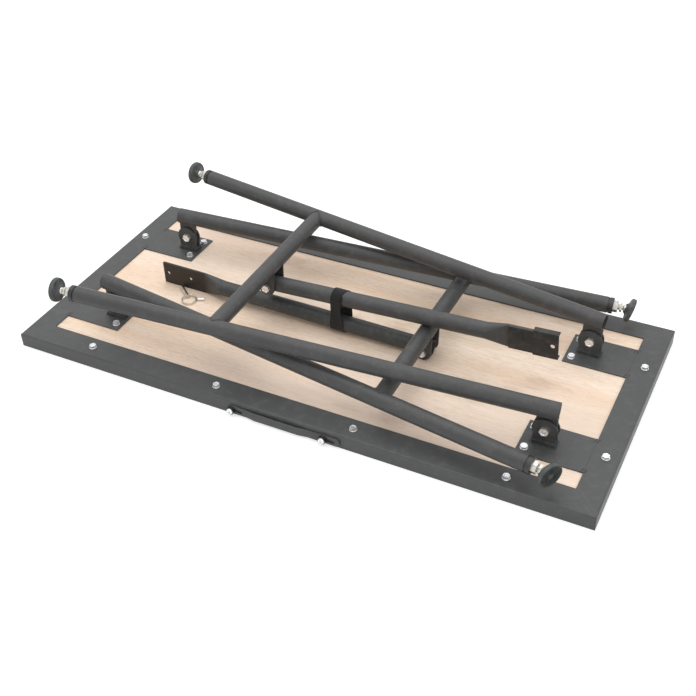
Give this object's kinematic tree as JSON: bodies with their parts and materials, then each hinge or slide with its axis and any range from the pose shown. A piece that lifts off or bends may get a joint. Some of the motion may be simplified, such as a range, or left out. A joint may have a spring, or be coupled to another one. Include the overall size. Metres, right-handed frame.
{
  "type": "folding workbench",
  "caption": "Folding workbench with a steel-rimmed wooden top, two splayed tube leg frames with levelling feet, pinned struts and a carry handle, folded flat.",
  "frame": {"origin": "middle of the working face, which lies on the floor while the bench is folded upside down", "axes": "+X along the bench towards the right-hand hinges of the upper leg frame, +Y across the bench away from the carry handle, +Z from the working face towards the folded legs"},
  "size_m": [1, 0.4684, 0.1487],
  "materials": {
    "board_wood": "fine-grained pale wood, sanded",
    "powder_coat": "satin anthracite powder coat",
    "black_paint": "satin black powder coat",
    "zinc_plate": "bright zinc plate",
    "pad_rubber": "matte hard rubber",
    "webbing": "woven webbing",
    "handle_plastic": "moulded strap",
    "black_plastic": "moulded, matte"
  },
  "bodies": {
    "top": {"rim_near": "powder_coat", "rim_far": "powder_coat", "rim_left": "powder_coat", "rim_right": "powder_coat", "worktop_board": "board_wood", "rim_bolts": "zinc_plate", "hinge_plate_left_near": "powder_coat", "hinge_plate_left_far": "powder_coat", "hinge_plate_right_near": "powder_coat", "hinge_plate_right_far": "powder_coat", "plate_screws": "zinc_plate", "clevis_left_near": "black_paint", "clevis_left_far": "black_paint", "clevis_right_near": "black_paint", "clevis_right_far": "black_paint", "hinge_bolts": "zinc_plate", "hinge_nuts": "zinc_plate", "handle_bushes": "black_plastic", "handle_bolts": "zinc_plate"},
    "handle": {"carry_handle": "handle_plastic"},
    "leg_frame_right": {"leg_tube_right_near": "powder_coat", "leg_tube_right_far": "powder_coat", "cross_tube_right": "powder_coat", "end_caps_right": "black_plastic", "hinge_lug_right_near": "black_paint", "hinge_lug_right_far": "black_paint", "strut_bracket_right": "black_paint", "strut_bolt_right": "zinc_plate"},
    "leg_frame_left": {"leg_tube_left_near": "powder_coat", "leg_tube_left_far": "powder_coat", "cross_tube_left": "powder_coat", "end_caps_left": "black_plastic", "hinge_lug_left_near": "black_paint", "hinge_lug_left_far": "black_paint", "strut_bracket_left": "black_paint", "strut_bolt_left": "zinc_plate"},
    "strut_arm_right": {"strut_right": "powder_coat", "strut_channel": "black_paint", "webbing_strap": "webbing"},
    "strut_arm_left": {"strut_left": "powder_coat"},
    "nut_right_near": {"jam_nut_right_near": "zinc_plate"},
    "stem_right_near": {"foot_stem_right_near": "zinc_plate"},
    "pad_right_near": {"foot_pad_right_near": "pad_rubber"},
    "nut_right_far": {"jam_nut_right_far": "zinc_plate"},
    "stem_right_far": {"foot_stem_right_far": "zinc_plate"},
    "pad_right_far": {"foot_pad_right_far": "pad_rubber"},
    "nut_left_near": {"jam_nut_left_near": "zinc_plate"},
    "stem_left_near": {"foot_stem_left_near": "zinc_plate"},
    "pad_left_near": {"foot_pad_left_near": "pad_rubber"},
    "nut_left_far": {"jam_nut_left_far": "zinc_plate"},
    "stem_left_far": {"foot_stem_left_far": "zinc_plate"},
    "pad_left_far": {"foot_pad_left_far": "pad_rubber"},
    "pin": {"lock_pin": "zinc_plate"},
    "ring": {"pull_ring": "zinc_plate", "ring_ferrule": "zinc_plate"}
  },
  "joints": [
    {"name": "leg_right_fold", "type": "hinge", "parent": "top", "child": "leg_frame_right", "pos_m": [0.388, 0, 0.052], "axis": [0, 1, 0], "range_deg": [0, 98.9], "deforming": ["webbing_strap"]},
    {"name": "leg_left_fold", "type": "hinge", "parent": "top", "child": "leg_frame_left", "pos_m": [-0.378, 0, 0.052], "axis": [0, -1, 0], "range_deg": [0, 103.9], "deforming": ["webbing_strap"]},
    {"name": "strut_right_swing", "type": "hinge", "parent": "leg_frame_right", "child": "strut_arm_right", "pos_m": [-0.13709, 0.006, 0.08377], "axis": [0, -1, 0], "range_deg": [0, 27], "deforming": ["webbing_strap"]},
    {"name": "strut_left_swing", "type": "hinge", "parent": "leg_frame_left", "child": "strut_arm_left", "pos_m": [0.14786, 0.006, 0.03789], "axis": [0, 1, 0], "range_deg": [0, 2.5], "deforming": ["webbing_strap"]},
    {"name": "foot_right_near_travel", "type": "slide", "parent": "leg_frame_right", "child": "nut_right_near", "axis": [-0.9925, -0.1132, 0.0468], "range_m": [0, 0.018]},
    {"name": "foot_right_near_turn", "type": "hinge", "parent": "nut_right_near", "child": "stem_right_near", "pos_m": [-0.40511, -0.20768, 0.12895], "axis": [-0.9925, -0.1132, 0.0468], "range_deg": [-30, 4350]},
    {"name": "pad_right_near_tilt", "type": "hinge", "parent": "nut_right_near", "child": "pad_right_near", "pos_m": [-0.40511, -0.20768, 0.12895], "axis": [0.1131, -0.9936, -0.0053], "range_deg": [-33, 23]},
    {"name": "foot_right_far_travel", "type": "slide", "parent": "leg_frame_right", "child": "nut_right_far", "axis": [-0.9925, 0.1132, 0.0468], "range_m": [0, 0.018]},
    {"name": "foot_right_far_turn", "type": "hinge", "parent": "nut_right_far", "child": "stem_right_far", "pos_m": [-0.40511, 0.20768, 0.12895], "axis": [-0.9925, 0.1132, 0.0468], "range_deg": [-30, 4350]},
    {"name": "pad_right_far_tilt", "type": "hinge", "parent": "nut_right_far", "child": "pad_right_far", "pos_m": [-0.40511, 0.20768, 0.12895], "axis": [-0.1131, -0.9936, 0.0053], "range_deg": [-33, 23]},
    {"name": "foot_left_near_travel", "type": "slide", "parent": "leg_frame_left", "child": "nut_left_near", "axis": [0.9928, -0.1132, -0.0399], "range_m": [0, 0.018]},
    {"name": "foot_left_near_turn", "type": "hinge", "parent": "nut_left_near", "child": "stem_left_near", "pos_m": [0.41879, -0.20768, 0.05953], "axis": [0.9928, -0.1132, -0.0399], "range_deg": [-30, 4350]},
    {"name": "pad_left_near_tilt", "type": "hinge", "parent": "nut_left_near", "child": "pad_left_near", "pos_m": [0.41879, -0.20768, 0.05953], "axis": [-0.0401, 0, -0.9992], "range_deg": [-56, 0]},
    {"name": "foot_left_far_travel", "type": "slide", "parent": "leg_frame_left", "child": "nut_left_far", "axis": [0.9928, 0.1132, -0.0399], "range_m": [0, 0.018]},
    {"name": "foot_left_far_turn", "type": "hinge", "parent": "nut_left_far", "child": "stem_left_far", "pos_m": [0.41879, 0.20768, 0.05953], "axis": [0.9928, 0.1132, -0.0399], "range_deg": [-30, 4350]},
    {"name": "pad_left_far_tilt", "type": "hinge", "parent": "nut_left_far", "child": "pad_left_far", "pos_m": [0.41879, 0.20768, 0.05953], "axis": [-0.1131, 0.9936, 0.0045], "range_deg": [-43, 13]},
    {"name": "handle_slide", "type": "slide", "parent": "top", "child": "handle", "axis": [-1, 0, 0], "range_m": [0, 0.0165]},
    {"name": "pin_lift", "type": "slide", "parent": "top", "child": "pin", "axis": [0, 0, 1], "range_m": [0, 0.05]},
    {"name": "ring_lift", "type": "hinge", "parent": "pin", "child": "ring", "pos_m": [-0.29914, -0.02, 0.0263], "axis": [-0.6293, -0.7771, 0], "range_deg": [0, 90]}
  ],
  "couplings": [
    {"joint": "leg_left_fold", "follows": "leg_right_fold", "ratio": 0.42},
    {"joint": "foot_right_near_turn", "follows": "foot_right_near_travel", "rad_per_m": 4188.8},
    {"joint": "foot_right_far_turn", "follows": "foot_right_far_travel", "rad_per_m": 4188.8},
    {"joint": "foot_left_near_turn", "follows": "foot_left_near_travel", "rad_per_m": 4188.8},
    {"joint": "foot_left_far_turn", "follows": "foot_left_far_travel", "rad_per_m": 4188.8}
  ]
}
